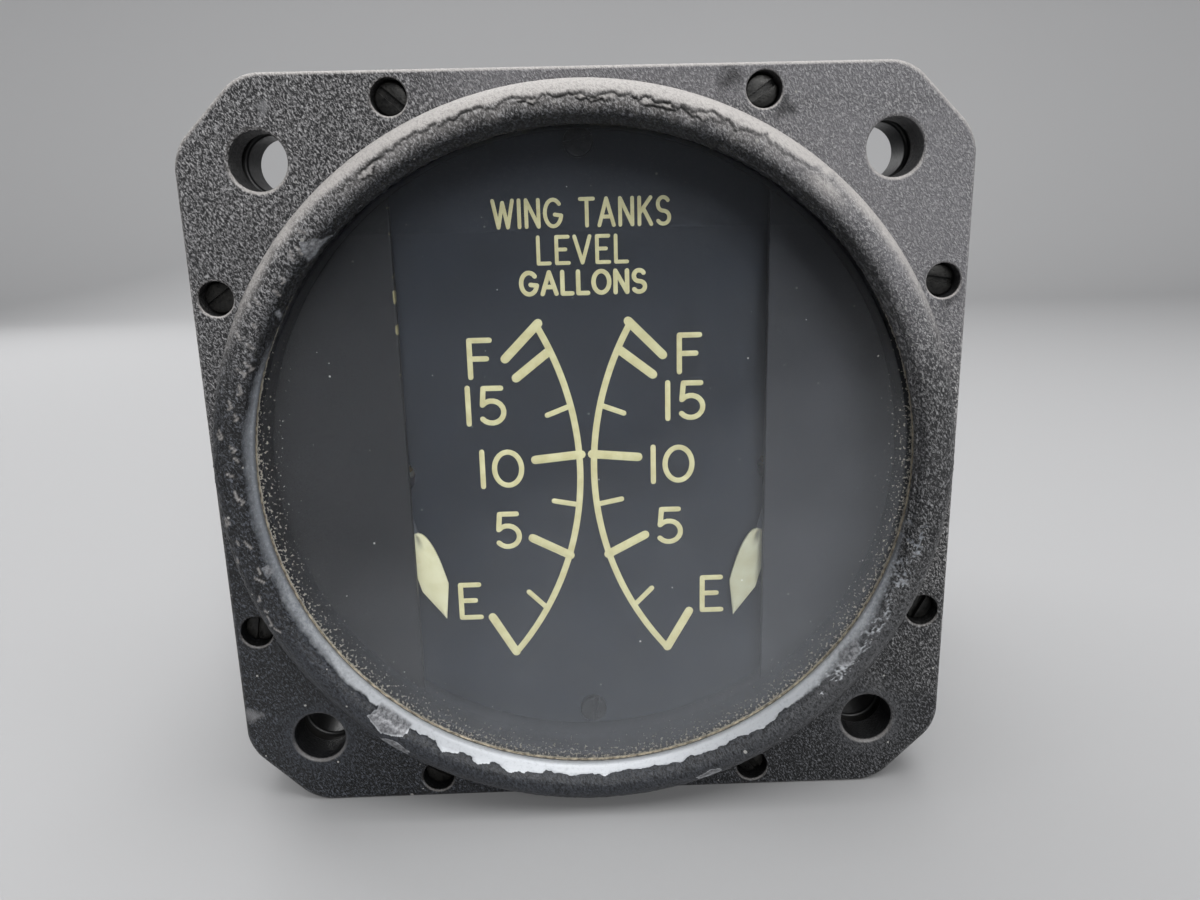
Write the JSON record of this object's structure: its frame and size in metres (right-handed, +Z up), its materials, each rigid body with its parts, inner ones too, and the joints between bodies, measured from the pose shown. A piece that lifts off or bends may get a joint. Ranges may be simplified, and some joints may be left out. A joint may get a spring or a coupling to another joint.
{
  "type": "twin-pointer aircraft fuel gauge",
  "caption": "Square-flanged panel instrument with a round bezel, glass, dial, masked leaf pointers on independent movements, a sealed can and a round rear receptacle.",
  "frame": {"origin": "centre of the square flange's front face, which lies against the back of the panel, midway between the panel holes", "axes": "+X right and +Z up as the dial is read, +Y backwards into the panel, so the dial faces -Y"},
  "size_m": [0.0594, 0.0795, 0.0594],
  "materials": {
    "wrinkle_paint": "black wrinkle enamel on cast aluminium, worn bright at the lip",
    "case_paint": "satin black enamel",
    "seal_rubber": "aged black rubber",
    "glass": "clear flat glass with dust",
    "black_ring": "matt black anodised",
    "screw_black": "black oxide, slots worn",
    "mask_black": "matt black enamel, chipped along the edge",
    "dial_black": "satin blue-black print ground with cream figures",
    "pointer_cream": "matt cream paint",
    "brass": "turned brass",
    "steel": "bright steel",
    "magnet": "sintered magnet",
    "plate_aluminium": "brushed aluminium",
    "bobbin_plastic": "moulded nylon",
    "copper_wire": "enamelled copper wire",
    "board_green": "glass epoxy board",
    "trimmer_blue": "moulded plastic",
    "resistor_tan": "lacquered film resistor",
    "wire_white": "insulated wire",
    "olive_plate": "olive drab conversion coating",
    "insert_rubber": "moulded insulator",
    "contact_gold": "plated contact"
  },
  "bodies": {
    "gauge": {"bezel": "wrinkle_paint", "glass_seal": "seal_rubber", "glass": "glass", "retaining_ring": "black_ring", "case_gasket": "seal_rubber", "case": "case_paint", "bezel_screws": "screw_black", "left_mask": "mask_black", "right_mask": "mask_black", "mask_spacers": "black_ring", "dial_plate": "dial_black", "dial_screws": "screw_black", "dial_posts": "brass", "stop_pins": "brass", "movement_plate": "plate_aluminium", "plate_screws": "steel", "left_front_bobbin": "bobbin_plastic", "right_front_bobbin": "bobbin_plastic", "left_rear_bobbin": "bobbin_plastic", "right_rear_bobbin": "bobbin_plastic", "left_inner_coil": "copper_wire", "right_inner_coil": "copper_wire", "left_outer_coil": "copper_wire", "right_outer_coil": "copper_wire", "left_bearings": "brass", "right_bearings": "brass", "return_magnets": "magnet", "left_shield_cup": "steel", "right_shield_cup": "steel", "shield_screws": "steel", "board_posts": "brass", "post_screws": "steel", "circuit_board": "board_green", "trimmers": "trimmer_blue", "resistors": "resistor_tan", "lead_wires": "wire_white", "connector_gasket": "seal_rubber", "connector_shell": "olive_plate", "connector_insert": "insert_rubber", "connector_pins": "contact_gold", "connector_screws": "steel"},
    "left_needle": {"left_pointer": "pointer_cream", "left_staff": "steel", "left_rotor": "magnet"},
    "right_needle": {"right_pointer": "pointer_cream", "right_staff": "steel", "right_rotor": "magnet"}
  },
  "joints": [
    {"name": "left_needle_turn", "type": "hinge", "parent": "gauge", "child": "left_needle", "pos_m": [-0.0165, 0.006, -0.0023], "axis": [0, -1, 0], "range_deg": [0, 128], "stiffness_Nm_per_rad": 0.000004, "springref_deg": -28.65},
    {"name": "right_needle_turn", "type": "hinge", "parent": "gauge", "child": "right_needle", "pos_m": [0.0165, 0.006, -0.0023], "axis": [0, 1, 0], "range_deg": [0, 128], "stiffness_Nm_per_rad": 0.000004, "springref_deg": -28.65}
  ]
}
